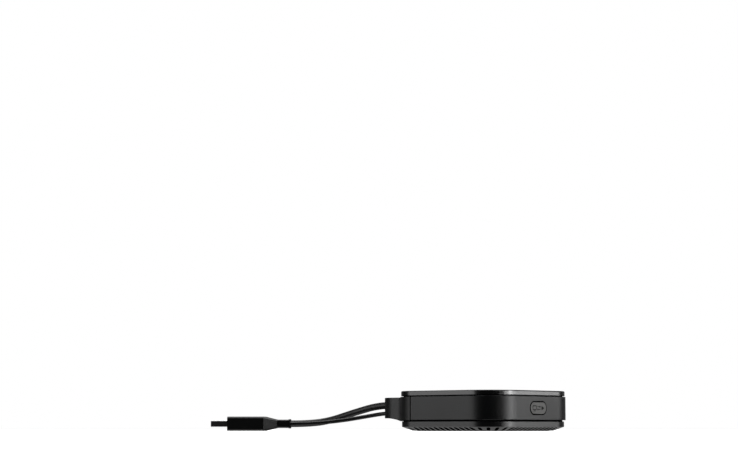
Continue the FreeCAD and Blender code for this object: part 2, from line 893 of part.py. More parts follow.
def inner_frame():
    """Plate on four legs that carries the lid, the lights and the hub of the press button."""
    body = new_body("inner_frame")
    plate = rounded(half - size.frame_inset, half - size.frame_inset,
                    size.corner_radius - size.frame_inset)
    extrude(body, [plate, Circle(0.0, 0.0, size.frame_window)], frame_bottom, frame_top)
    length = size.frame_window + beyond
    extrude(body, [centred(length, size.frame_beam / 2)], frame_bottom, frame_top)
    extrude(body, [centred(size.frame_beam / 2, length)], frame_bottom, frame_top)
    extrude(body, [Circle(0.0, 0.0, size.hub_radius)], hub_bottom, frame_top)
    extrude(body, circles(leg_spots, size.leg_radius), board_top, frame_bottom)
    extrude(body, [Circle(0.0, 0.0, stem_bore)], hub_bottom, frame_top, cut=True)
    hole_end = board_top + size.screw_bite + size.screw_tip_gap
    extrude(body, circles(leg_spots, screw_hole), board_top, hole_end, cut=True)
    extrude(body, circles(boss_spots, small_hole), frame_bottom, frame_top, cut=True)
    notch = rectangle(-size.notch_half, size.notch_half, lead_inner_end - beyond, half)
    extrude(body, [notch], frame_bottom, frame_top, cut=True)
    return body


# Electronics
def led_board():
    body = new_body("led_board")
    outer = Circle(0.0, 0.0, flange_outer + beyond)
    inner = Circle(0.0, 0.0, flange_outer + beyond - size.led_board_width)
    extrude(body, [outer, inner], frame_top, frame_top + size.led_board_wall)
    return body


def leds():
    """Lamps in a circle under the flange of the light ring."""
    body = new_body("leds")
    bottom = frame_top + size.led_board_wall
    radius = (light_inner + flange_outer) / 2
    lamp = centred(size.led_width / 2, size.led_length / 2, radius)
    first = extrude(body, [lamp], bottom, bottom + size.led_height)
    repeat(body, first, LEDS)
    return body


def main_board():
    body = new_body("main_board")
    side = half - size.board_inset
    outline = rounded(side, side, size.corner_radius - size.board_inset)
    holes = circles(leg_spots, screw_hole + size.screw_gap)
    extrude(body, [outline, *holes], size.board_height, board_top)
    return body


def chip(label, outlines, bottom, top):
    """Plain packages on a board."""
    body = new_body(label)
    extrude(body, outlines, bottom, top)
    return body


def present_switch():
    """Tactile switch on the main board under the button's stem."""
    body = new_body("present_switch")
    side = size.switch_side / 2
    extrude(body, [bevelled(side, side, size.switch_edge)], board_top, switch_top)
    bore = Circle(0.0, 0.0, size.plunger_radius + size.switch_gap)
    extrude(body, [bore], switch_top - size.switch_depth, switch_top, cut=True)
    return body


def present_plunger():
    body = new_body("present_plunger")
    bottom = stem_bottom - size.plunger_length
    extrude(body, [Circle(0.0, 0.0, size.plunger_radius)], bottom, stem_bottom)
    return body


mode_flange_front = inner_face - size.button_gap
mode_flange_back = mode_flange_front - size.mode_flange_wall
mode_stem_end = mode_flange_back - size.mode_stem
mode_switch_face = mode_stem_end - size.mode_switch_gap


def mode_button():
    """Obround button that slides in the front wall, held in by a flange behind the wall."""
    body = new_body("mode_button")
    half_width = size.mode_width / 2
    half_height = size.mode_height / 2
    cap = obround(half_width, half_height, 0.0, mode_centre)
    extrude(body, [cap], mode_flange_front, half + size.mode_proud, "XZ_Plane")
    front = half + size.mode_proud
    dress(body, "Fillet", size.mode_edge, lambda edge: near(edge.BoundBox.YMin, -front)
          and near(edge.BoundBox.YMax, -front))
    flange = obround(half_width + size.mode_flange, half_height + size.mode_flange, 0.0, mode_centre)
    extrude(body, [flange], mode_flange_back, mode_flange_front, "XZ_Plane")
    stem = Circle(0.0, mode_centre, size.mode_stem_radius)
    extrude(body, [stem], mode_stem_end, mode_flange_back, "XZ_Plane")
    return body


def mode_plunger():
    body = new_body("mode_plunger")
    tip = Circle(0.0, mode_centre, size.plunger_radius)
    extrude(body, [tip], mode_stem_end - size.plunger_length, mode_stem_end, "XZ_Plane")
    return body


def mode_switch():
    """Side-acting switch at the front edge of the main board."""
    body = new_body("mode_switch")
    side = size.mode_switch_width / 2
    back = mode_switch_face - size.mode_switch_depth
    extrude(body, [rectangle(-side, side, -mode_switch_face, -back)],
            board_top, board_top + size.mode_switch_height)
    bore = Circle(0.0, mode_centre, size.plunger_radius + size.switch_gap)
    extrude(body, [bore], mode_switch_face - size.switch_depth, mode_switch_face, "XZ_Plane",
            cut=True)
    return body


def heat_spreader():
    """Aluminium plate above the vents, warmed through the thermal pad."""
    body = new_body("heat_spreader")
    side = half - size.spreader_inset
    outline = rounded(side, side, size.spreader_corner)
    extrude(body, [outline], size.spreader_height, spreader_top)
    holes = circles(leg_spots, size.leg_radius + size.lip_gap * 2)
    extrude(body, holes, size.spreader_height, spreader_top, cut=True)
    return body


def shield_can():
    """Thin metal lid over the memory."""
    body = new_body("shield_can")
    top = board_top + size.can_height
    x = size.can_width / 2
    y = size.can_length / 2
    outside = rounded(x, y, size.can_corner, can_x, 0.0)
    extrude(body, [outside], board_top, top)
    inside = rounded(x - size.can_wall, y - size.can_wall, size.can_corner - size.can_wall, can_x, 0.0)
    extrude(body, [inside], board_top, top - size.can_wall, cut=True)
    return body


# Leads inside the puck
clamp_front = lead_inner_end + size.clamp_gap
clamp_back = clamp_front + size.clamp_depth
clamp_top = ring_top - size.clamp_drop
clamp_screw_spots = [(-size.clamp_screw_place, clamp_front + size.clamp_depth / 2),
                     (size.clamp_screw_place, clamp_front + size.clamp_depth / 2)]


def lead_tail(label, exit_height, diameter):
    """The stretch of a lead that the boot and the clamp hold."""
    body = new_body(label)
    extrude(body, [Circle(0.0, exit_height, diameter / 2)], -boot_end, -lead_inner_end, "XZ_Plane")
    return body


def cable_clamp():
    """Block on the main board that takes the pull of both leads."""
    body = new_body("cable_clamp")
    side = size.clamp_half
    extrude(body, [rectangle(-side, side, clamp_front, clamp_back)], board_top, clamp_top)
    for exit_height, diameter in ((hdmi_exit, size.hdmi_diameter), (usb_exit, size.usb_diameter)):
        bore = Circle(0.0, exit_height, diameter / 2 + size.lead_gap)
        extrude(body, [bore], -clamp_back, -clamp_front, "XZ_Plane", cut=True)
    extrude(body, circles(clamp_screw_spots, small_hole), board_top, clamp_top, cut=True)
    return body


def clamp_screws():
    body = new_body("clamp_screws")
    extrude(body, circles(clamp_screw_spots, size.small_head_radius),
            clamp_top, clamp_top + size.small_head)
    extrude(body, circles(clamp_screw_spots, size.small_screw_radius), board_top, clamp_top)
    return body


def ribbon(label, path, half_width):
    """Flat bundle of wires that follows points given as y, z."""
    wall = size.ribbon_wall / 2
    upper = [(y, z + wall) for y, z in path]
    lower = [(y, z - wall) for y, z in reversed(path)]
    body = new_body(label)
    extrude(body, [upper + lower], -half_width, half_width, "YZ_Plane")
    return body


# Free leads
def lead(label, route, diameter):
    """Round lead along straight runs joined by arcs as large as the runs allow."""
    points = [Vector(*(float(value) for value in point)) for point in route]
    edges = []
    radii = []
    start = points[0]
    for before, corner, after in zip(points, points[1:], points[2:]):
        arrive = (corner - before).normalize()
        leave = (after - corner).normalize()
        turn = arrive.getAngle(leave)
        cut = ARC_SHARE * min((corner - before).Length, (after - corner).Length)
        radius = cut / math.tan(turn / 2)
        radii.append(radius)
        first = corner - arrive * cut
        last = corner + leave * cut
        inward = (leave - arrive).normalize()
        centre = corner + inward * (radius / math.cos(turn / 2))
        through = centre - inward * radius
        edges.append(Part.LineSegment(start, first).toShape())
        edges.append(Part.Arc(first, through, last).toShape())
        start = last
    edges.append(Part.LineSegment(start, points[-1]).toShape())
    path = Part.Wire(edges)
    direction = points[1] - points[0]
    section = Part.Wire(Part.makeCircle(diameter / 2, points[0], direction))
    tube = path.makePipeShell([section], True, False)
    expected = path.Length * math.pi * diameter ** 2 / 4
    print(label, "length", round(path.Length, 1), "radii", [round(radius, 1) for radius in radii],
          "volume over expected", round(tube.Volume / expected, 4))
    feature = doc.addObject("Part::Feature", label)
    feature.Label = label
    feature.Shape = tube
    return feature


# Plugs, each drawn with its lead at the origin and its shell towards -Y
taper_start = size.plug_neck
body_start = taper_start + size.plug_taper
body_end = body_start + size.plug_body
shell_end = body_end + size.plug_shell
shell_start = body_end - size.plug_socket


def place_plug(bodies, route, turn):
    """Lay a plug at the end of its lead, turned from straight back by an angle in degrees."""
    spot = Vector(*(float(value) for value in route[-1]))
    for body in bodies:
        body.Placement = Placement(spot, Rotation(Vector(0, 0, 1), 180.0 + turn))


def plug_housing(label, width, thickness, socket):
    """Moulded grip: a bevelled body that tapers to a slim neck with a small lip."""
    body = new_body(label)
    neck_x = size.neck_width / 2
    neck_z = size.neck_thickness / 2
    proud = size.plug_lip_proud
    lip = bevelled(neck_x + proud, neck_z + proud, size.neck_edge)
    extrude(body, [lip], 0.0, size.plug_lip, "XZ_Plane")
    neck = bevelled(neck_x, neck_z, size.neck_edge)
    extrude(body, [neck], size.plug_lip, taper_start, "XZ_Plane")
    grip = bevelled(width / 2, thickness / 2, size.plug_edge)
    loft = body.newObject("PartDesign::AdditiveLoft", "Taper")
    loft.Profile = new_sketch(body, [neck], taper_start, "XZ_Plane")
    loft.Sections = [new_sketch(body, [grip], body_start, "XZ_Plane")]
    loft.Ruled = True
    extrude(body, [grip], body_start, body_end, "XZ_Plane")
    extrude(body, [socket], shell_start, body_end, "XZ_Plane", cut=True)
    return body


def usb_outline(shrink):
    return rounded(size.usb_shell_width / 2 - shrink, size.usb_shell_thickness / 2 - shrink,
                   size.usb_shell_corner - shrink)


def hdmi_outline(shrink):
    """The shell's outline, with its two lower corners cut off."""
    x = size.hdmi_shell_width / 2 - shrink
    z = size.hdmi_shell_thickness / 2 - shrink
    bevel = size.hdmi_shell_bevel - shrink * BEVEL_LOSS
    return [(-x + bevel, -z), (x - bevel, -z), (x, -z + bevel), (x, z), (-x, z), (-x, -z + bevel)]


def usb_plug():
    """USB-A plug: housing, steel shell, plastic tongue and four contacts."""
    housing = plug_housing("usb_plug_housing", size.usb_body_width, size.usb_body_thickness,
                           usb_outline(-size.lead_gap))
    shell = new_body("usb_plug_shell")
    extrude(shell, [usb_outline(0.0), usb_outline(size.shell_wall)], shell_start, shell_end,
            "XZ_Plane")
    latch_y = -body_end - size.latch_place
    reach = size.usb_shell_thickness
    latches = [centred(size.latch_width / 2, size.latch_length / 2, x, latch_y)
               for x in (-size.latch_x, size.latch_x)]
    extrude(shell, latches, -reach, reach, cut=True)
    inside = size.shell_wall + size.lead_gap
    x = size.usb_shell_width / 2 - inside
    z = size.usb_shell_thickness / 2 - inside
    side = x - size.usb_tongue_margin
    top = -z + size.usb_tongue
    back = body_end + size.plug_socket_floor
    tip = shell_end - size.usb_tongue_recess
    tongue = new_body("usb_plug_tongue")
    extrude(tongue, [usb_outline(inside)], shell_start, back, "XZ_Plane")
    extrude(tongue, [rectangle(-side, side, -z, top)], back, tip, "XZ_Plane")
    contacts = new_body("usb_plug_contacts")
    wide = size.usb_contact_width / 2
    spots = (-size.usb_contact_outer, -size.usb_contact_inner, size.usb_contact_inner,
             size.usb_contact_outer)
    strips = [rectangle(spot - wide, spot + wide, top, top + size.contact_wall) for spot in spots]
    extrude(contacts, strips, back, tip - size.usb_contact_recess, "XZ_Plane")
    place_plug([housing, shell, tongue, contacts], usb_route, size.usb_plug_turn)


def hdmi_plug():
    """HDMI plug: housing, steel shell, plastic liner and nineteen contacts in two rows."""
    housing = plug_housing("hdmi_plug_housing", size.hdmi_body_width, size.hdmi_body_thickness,
                           hdmi_outline(-size.lead_gap))
    shell = new_body("hdmi_plug_shell")
    extrude(shell, [hdmi_outline(0.0), hdmi_outline(size.shell_wall)], shell_start, shell_end,
            "XZ_Plane")
    liner = new_body("hdmi_plug_liner")
    back = body_end + size.plug_socket_floor
    front = shell_end - size.hdmi_liner_recess
    slot_x = size.hdmi_shell_width / 2 - size.hdmi_slot_margin
    extrude(liner, [hdmi_outline(size.shell_wall + size.lead_gap)], shell_start, front, "XZ_Plane")
    extrude(liner, [centred(slot_x, size.hdmi_slot / 2)], back, front, "XZ_Plane", cut=True)
    contacts = new_body("hdmi_plug_contacts")
    wall = size.hdmi_slot / 2
    wide = size.hdmi_contact_width / 2
    strips = []
    for i in range(HDMI_CONTACTS):
        spot = size.hdmi_contact_pitch * (i - HDMI_CONTACTS // 2)
        low = wall - size.contact_wall if i % 2 == 0 else -wall
        strips.append(rectangle(spot - wide, spot + wide, low, low + size.contact_wall))
    extrude(contacts, strips, back, front - size.hdmi_contact_recess, "XZ_Plane")
    place_plug([housing, shell, liner, contacts], hdmi_route, size.hdmi_plug_turn)


# Every sub-part, from the bottom up
anti_slip_pad()
bottom_cover()
screws("cover_screws", leg_spots, screw_seat, board_top + size.screw_bite,
       size.screw_radius, size.screw_head_radius, size.screw_head)
heat_spreader()
pad_side = size.processor_side / 2
soft_side = pad_side - size.pad_margin
chip("thermal_pad", [centred(soft_side, soft_side)], spreader_top, processor_bottom)
chip("processor", [centred(pad_side, pad_side)], processor_bottom, size.board_height)
main_board()
memory_spots = [(can_x, -size.memory_place), (can_x, size.memory_place)]
chip("memory_chips", [centred(size.memory_width / 2, size.memory_length / 2, x, y)
                      for x, y in memory_spots],
     board_top, board_top + size.memory_height)
shield_can()
chip("wireless_module",
     [centred(size.module_width / 2, size.module_length / 2, module_x, size.module_y)],
     board_top, board_top + size.module_height)
antenna_y = size.antenna_inset - half
chip("antennas", [centred(size.antenna_width / 2, size.antenna_wall / 2, x, antenna_y)
                  for x in (-size.antenna_x, size.antenna_x)],
     board_top, board_top + size.antenna_height)
present_switch()
present_plunger()
mode_switch()
mode_plunger()
mode_button()
side_ring()
rear_cover()
cable_clamp()
clamp_screws()
lead_tail("hdmi_tail", hdmi_exit, size.hdmi_diameter)
lead_tail("usb_tail", usb_exit, size.usb_diameter)
hdmi_header_back = lead_inner_end - size.hdmi_header_gap
usb_header_back = lead_inner_end - size.usb_header_gap
side = size.hdmi_header_width / 2
chip("hdmi_header",
     [rectangle(-side, side, hdmi_header_back - size.hdmi_header_depth, hdmi_header_back)],
     board_top, board_top + size.hdmi_header_height)
side = size.usb_header_width / 2
chip("usb_header",
     [rectangle(-side, side, usb_header_back - size.usb_header_depth, usb_header_back)],
     board_top, board_top + size.usb_header_height)
header_height = board_top + size.header_slot
ribbon("hdmi_wires", [
    (lead_inner_end, hdmi_exit),
    (lead_inner_end - size.hdmi_ribbon_bend, hdmi_exit - size.hdmi_ribbon_sag),
    (lead_inner_end - size.hdmi_ribbon_landing, header_height),
    (hdmi_header_back, header_height),
], size.hdmi_ribbon_width / 2)
ribbon("usb_wires", [(lead_inner_end, usb_exit), (usb_header_back, usb_exit)],
       size.usb_ribbon_width / 2)
inner_frame()
led_board()
leds()
return_spring()
retaining_clip()
present_button()
light_ring()
screws("lid_screws", boss_spots, frame_bottom, frame_top + size.lid_screw_bite,
       size.small_screw_radius, size.small_head_radius, size.small_head)
top_cover()
lead("usb_lead", usb_route, size.usb_diameter)
lead("hdmi_lead", hdmi_route, size.hdmi_diameter)
usb_plug()
hdmi_plug()
doc.recompute()

# Nothing is written unless every object and every shape is sound
faults = [item.Name for item in doc.Objects if {"Invalid", "Error"} & set(item.State)]
if faults:
    raise RuntimeError(f"these objects failed: {faults}")
pieces = [item for item in doc.Objects if item.TypeId in ("PartDesign::Body", "Part::Feature")]
for piece in pieces:
    if piece.Shape.isNull() or not piece.Shape.isValid() or not piece.Shape.Solids:
        raise RuntimeError(f"{piece.Label} has no sound shape")
    if piece.TypeId == "PartDesign::Body":
        last = None
        for feature in piece.Group:
            if feature.TypeId not in ("PartDesign::Pad", "PartDesign::Pocket"):
                continue
            added = feature.Shape.Volume - (feature.BaseFeature.Shape.Volume if feature.BaseFeature else 0)
            if (added > 0) == (feature.TypeId == "PartDesign::Pocket") or abs(added) < 1e-6:
                raise RuntimeError(f"{piece.Label}: {feature.Name} points the wrong way")
for piece in pieces:
    piece.Shape.exportStep(f"parts/{piece.Label}.step")
    box = piece.Shape.BoundBox
    print(piece.Label, len(piece.Shape.Solids), "solids", round(piece.Shape.Volume, 1), "mm3",
          [round(value, 2) for value in (box.XMin, box.XMax, box.YMin, box.YMax, box.ZMin, box.ZMax)])
print(len(pieces), "sub-parts")
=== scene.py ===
# %% [markdown]
# # A wireless presentation dongle
# A square puck with a large press button on top, a mode key in its front face and two short captive leads.
# The imported model is the fixed frame: every node of it is already at its real size and place, in metres.
# This script dresses those nodes, adds the soft leads, the small printed marks and a welded copy of the
# coil spring, and sets up a plain studio.

# %% Load the frame
import json
import math

import bpy
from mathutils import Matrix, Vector


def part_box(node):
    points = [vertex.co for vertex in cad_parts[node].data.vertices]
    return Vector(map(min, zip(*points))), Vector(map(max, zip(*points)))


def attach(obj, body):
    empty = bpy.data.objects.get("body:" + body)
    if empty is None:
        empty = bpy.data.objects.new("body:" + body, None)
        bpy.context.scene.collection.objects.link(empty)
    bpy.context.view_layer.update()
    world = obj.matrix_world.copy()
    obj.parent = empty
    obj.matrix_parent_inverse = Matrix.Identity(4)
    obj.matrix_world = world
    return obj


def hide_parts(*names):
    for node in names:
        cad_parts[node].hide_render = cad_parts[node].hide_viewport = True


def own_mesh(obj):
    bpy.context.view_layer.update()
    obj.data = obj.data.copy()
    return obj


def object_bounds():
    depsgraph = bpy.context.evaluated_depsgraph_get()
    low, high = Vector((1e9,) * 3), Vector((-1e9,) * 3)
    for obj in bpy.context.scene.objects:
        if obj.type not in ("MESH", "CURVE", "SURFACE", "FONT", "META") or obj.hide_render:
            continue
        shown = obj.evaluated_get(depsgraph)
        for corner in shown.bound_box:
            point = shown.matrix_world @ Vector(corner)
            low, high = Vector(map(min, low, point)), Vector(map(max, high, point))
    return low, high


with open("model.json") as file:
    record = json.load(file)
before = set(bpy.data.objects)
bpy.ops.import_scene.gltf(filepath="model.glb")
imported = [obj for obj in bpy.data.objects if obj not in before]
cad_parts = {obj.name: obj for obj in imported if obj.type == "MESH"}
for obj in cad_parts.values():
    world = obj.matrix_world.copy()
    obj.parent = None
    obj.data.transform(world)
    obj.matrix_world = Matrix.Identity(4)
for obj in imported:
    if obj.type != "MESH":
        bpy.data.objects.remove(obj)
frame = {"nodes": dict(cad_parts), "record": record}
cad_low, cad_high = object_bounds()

nodes = frame["nodes"]
print(len(nodes), "nodes, box", [round(v * 1000, 1) for v in (*cad_low, *cad_high)], "mm")

# %% [markdown]
# ## Camera
# The photograph was taken almost level with the table, from the corner between the side face and the
# key's face. A long lens keeps the two faces nearly free of perspective. The puck sits to the right of the
# middle, so the camera turns a little to the left of it, and it tips up a little, which puts the horizon
# low. The focal length was found in pixels. Divided by the picture's width it is in widths of the film.

# %% Place the camera
PICTURE_WIDTH = 738
FOCAL_PIXELS = 1830.0
FILM_WIDTH = 36.0
PUCK_TURN = math.radians(52.0)
CAMERA_DISTANCE = 1.24
CAMERA_HEIGHT = 0.0019
CAMERA_YAW = math.radians(3.549)
CAMERA_PITCH = math.radians(5.965)

toward_camera = Vector((-math.sin(PUCK_TURN), -math.cos(PUCK_TURN), 0.0))
camera_data = bpy.data.cameras.new("photo_camera")
camera = bpy.data.objects.new("photo_camera", camera_data)
bpy.context.scene.collection.objects.link(camera)
bpy.context.scene.camera = camera
camera_data.sensor_width = FILM_WIDTH
camera_data.lens = FOCAL_PIXELS / PICTURE_WIDTH * FILM_WIDTH
camera.location = toward_camera * CAMERA_DISTANCE + Vector((0.0, 0.0, CAMERA_HEIGHT))
camera.rotation_euler = (math.pi / 2 + CAMERA_PITCH, 0.0, CAMERA_YAW - PUCK_TURN)
camera_data.clip_start = 0.01
camera_data.clip_end = 50.0
print("camera at", [round(v, 3) for v in camera.location], "lens", round(camera_data.lens, 1), "mm")

# %% [markdown]
# ## The two leads
# A real lead leaves the boot straight, comes down under its own weight and lies on the table up to its
# plug. It could be swept as a mesh along a path, but a curve with a round bevel stays smooth at any length.
# The control points are the corners of the tube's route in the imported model, so the curve stays with the
# tube and lies a radius above the table.

# %% Where the leads run
LEADS = {
    "usb_cord": {
        "node": "usb_lead",
        "diameter": 0.0028,
        "length": 0.0756,
        "points": [(0.0, 0.080, 0.01235), (0.0, 0.087, 0.01235), (-0.004, 0.098, 0.0106),
                   (-0.0162, 0.1135, 0.0072), (-0.0298, 0.1318, 0.0050), (-0.0382, 0.1430, 0.0050)],
        "plug": ["usb_plug_housing", "usb_plug_shell", "usb_plug_tongue", "usb_plug_contacts"],
    },
    "hdmi_cord": {
        "node": "hdmi_lead",
        "diameter": 0.0049,
        "length": 0.0846,
        "points": [(0.0, 0.080, 0.01795), (0.0, 0.093, 0.01795), (-0.0018, 0.114, 0.0132),
                   (-0.0075, 0.134, 0.0070), (-0.0152, 0.1485, 0.0051), (-0.0229, 0.1577, 0.0051)],
        "plug": ["hdmi_plug_housing", "hdmi_plug_shell", "hdmi_plug_liner", "hdmi_plug_contacts"],
    },
}
print("lead lengths:", [round(facts["length"] * 1000, 1) for facts in LEADS.values()], "mm")

# %% [markdown]
# The section's radius is given at each control point, and the bevel has a depth of one, which only
# multiplies it. The ends are capped, because the cap shows where a lead enters its plug.

# %% Lay the leads
def lay_lead(name, facts):
    curve = bpy.data.curves.new(name, "CURVE")
    curve.dimensions = "3D"
    curve.bevel_depth = 1.0
    curve.bevel_resolution = 8
    curve.resolution_u = 24
    curve.use_fill_caps = True
    spline = curve.splines.new("NURBS")
    spline.points.add(len(facts["points"]) - 1)
    for point, place in zip(spline.points, facts["points"]):
        point.co = (*place, 1.0)
        point.radius = facts["diameter"] / 2
    spline.order_u = 3
    spline.use_endpoint_u = True
    lead = bpy.data.objects.new(name, curve)
    bpy.context.scene.collection.objects.link(lead)
    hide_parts(facts["node"])
    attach(lead, "housing")
    return lead


leads = {name: lay_lead(name, facts) for name, facts in LEADS.items()}
print("leads laid:", ", ".join(leads))

# %% [markdown]
# ## The marks on the mode key
# The key carries a short printed row, so that the eye finds it. Here it is three plain pictures: a screen,
# a pair of arrows and a play triangle. Pad printing leaves a film of matt ink a few hundredths of a
# millimetre thick. An image could carry the print, but small shapes stay crisp from close by. Each one
# starts as a flat primitive on the key's face, gets its outline in edit mode by bevel and inset, and its
# thickness from a Solidify modifier.

# %% The key's face and the ink
KEY_LOW, KEY_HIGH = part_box("mode_button")
KEY_FACE = KEY_LOW.y
KEY_MIDDLE = (KEY_LOW.z + KEY_HIGH.z) / 2
FACE_TURN = (math.pi / 2, 0.0, 0.0)
INK_THICKNESS = 0.00002
STROKE = 0.00055
SCREEN_LIFT = 0.00025
SCREEN_CORNER = 0.0005
FOOT_DROP = 0.0004
ARROW_HEAD = 0.0009
HEAD_INSET = 0.0006
SHAFT_SHIFT = 0.0005
print("key's middle", round(KEY_MIDDLE * 1000, 2), "mm up")

# %% Helpers for modelling by hand
def pick(*pieces):
    """Select these pieces alone. The first one becomes the active one."""
    bpy.ops.object.select_all(action="DESELECT")
    for piece in pieces:
        piece.select_set(True)
    bpy.context.view_layer.objects.active = pieces[0]


def start_piece(add, **facts):
    bpy.ops.object.select_all(action="DESELECT")
    add(**facts)
    return bpy.context.object


def settle(piece):
    """Put the place, turn and scale of an object into its mesh."""
    pick(piece)
    bpy.ops.object.transform_apply(location=True, rotation=True, scale=True)


def open_mesh():
    """Edit the active piece, with all of its mesh selected."""
    bpy.ops.object.mode_set(mode="EDIT")
    bpy.ops.mesh.select_all(action="SELECT")


def close_mesh():
    bpy.ops.object.mode_set(mode="OBJECT")


def join(name, pieces):
    pick(*pieces)
    bpy.ops.object.join()
    pieces[0].name = name
    pieces[0].data.name = name
    return pieces[0]


print("helpers ready")

# %% Flat shapes on the key's face
def plate(x, z, width, height):
    """A flat rectangle."""
    made = start_piece(bpy.ops.mesh.primitive_plane_add, size=1.0,
                       location=(x, KEY_FACE, KEY_MIDDLE + z), rotation=FACE_TURN)
    made.scale = (width, height, 1.0)
    settle(made)
    return made


def triangle(x, z, radius, turn):
    """A flat triangle that points the way of turn: 0 is right, pi is left."""
    middle = (x, KEY_FACE, KEY_MIDDLE + z)
    made = start_piece(bpy.ops.mesh.primitive_circle_add, vertices=3, radius=radius, fill_type="NGON",
                       location=middle, rotation=FACE_TURN)
    settle(made)
    open_mesh()
    bpy.ops.transform.rotate(value=-turn - math.pi / 2, orient_axis="Y", center_override=middle)
    close_mesh()
    return made


def screen_mark(x, width, height):
    """An outlined screen on a foot."""
    screen = plate(x, SCREEN_LIFT, width, height)
    open_mesh()
    bpy.ops.mesh.bevel(offset=SCREEN_CORNER, segments=4, affect="VERTICES")
    bpy.ops.mesh.select_all(action="SELECT")
    bpy.ops.mesh.inset(thickness=STROKE)
    bpy.ops.mesh.delete(type="FACE")
    close_mesh()
    foot = plate(x, -height / 2 - FOOT_DROP, width * 0.5, STROKE * 0.9)
    return [screen, foot]


def arrow_marks(x, length, gap):
    """Two arrows, one above the other, that point away from each other."""
    parts = []
    for side in (1.0, -1.0):
        turn = 0.0 if side > 0 else math.pi
        parts.append(plate(x - side * SHAFT_SHIFT, side * gap, length - 2 * HEAD_INSET, STROKE * 0.85))
        parts.append(triangle(x + side * (length / 2 - HEAD_INSET), side * gap, ARROW_HEAD, turn))
    return parts


# the places along the row and the sizes are in metres, from the key's middle
marks = join("mode_marks", [
    *screen_mark(-0.0042, 0.0044, 0.0029),
    *arrow_marks(0.0004, 0.0037, 0.0009),
    triangle(0.0043, 0.0, 0.0019, 0.0),
])
print("marks drawn:", len(marks.data.polygons), "faces")

# %% Give the ink its thickness
open_mesh()
bpy.ops.mesh.normals_make_consistent(inside=False)
close_mesh()
ink = marks.modifiers.new("ink", "SOLIDIFY")
ink.thickness = INK_THICKNESS
ink.offset = 0.0
bpy.ops.object.modifier_apply(modifier=ink.name)
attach(marks, "mode_key")
print("marks with ink:", len(marks.data.polygons), "faces")

# %% [markdown]
# ## The return spring
# The round button stands on a coil spring. A coil only works if it gets shorter as the button goes down,
# and a rigid node can't do that. A copy of the coil takes the node's place: its triangles are welded, its
# shading is smoothed, and it rides with the housing.

# %% Weld a copy of the coil
WELD_DISTANCE = 0.000001
COIL_SMOOTHING = math.radians(40.0)

spring = bpy.data.objects.new("press_spring", nodes["return_spring"].data.copy())
bpy.context.scene.collection.objects.link(spring)
pick(spring)
open_mesh()
bpy.ops.mesh.remove_doubles(threshold=WELD_DISTANCE)
close_mesh()
bpy.ops.object.shade_smooth_by_angle(angle=COIL_SMOOTHING)
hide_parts("return_spring")
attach(spring, "housing")
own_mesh(spring)

# %% [markdown]
# ## Shader maths
# Fine grain, brushing and wear are written as sums and products of textures. To keep them readable, a small
# class wraps a node's output and turns Python's own operators into Math nodes.

# %% The socket wrapper
class Level:
    """A number that changes over a surface: the output of a shader node."""

    def __init__(self, box, socket):
        self.box = box
        self.socket = socket

    def maths(self, operation, *values):
        return self.box.add("ShaderNodeMath", {"operation": operation}, dict(enumerate(values)))

    def __add__(self, other):
        return self.maths("ADD", self, other)

    def __radd__(self, other):
        return self.maths("ADD", other, self)

    def __sub__(self, other):
        return self.maths("SUBTRACT", self, other)

    def __rsub__(self, other):
        return self.maths("SUBTRACT", other, self)

    def __mul__(self, other):
        return self.maths("MULTIPLY", self, other)

    def __rmul__(self, other):
        return self.maths("MULTIPLY", other, self)

    def __gt__(self, other):
        return self.maths("GREATER_THAN", self, other)

    def __lt__(self, other):
        return self.maths("LESS_THAN", self, other)

    def __abs__(self):
        return self.maths("ABSOLUTE", self)

    def fraction(self):
        return self.maths("FRACT", self)

    def least(self, other):
        return self.maths("MINIMUM", self, other)

    def most(self, other):
        return self.maths("MAXIMUM", self, other)


print("socket wrapper ready")

# %% [markdown]
# A paint box holds one material. It makes any node from its type, its settings and its inputs, and has a
# method for each thing that the finishes below need. Colours are mixed by a Mix node, because a Math node
# would turn them grey.

# %% The paint box
# the plain black that is painted into gaps as their shade
PAINTED_GAP_SHADE = (0.0015, 0.0015, 0.0016, 1.0)


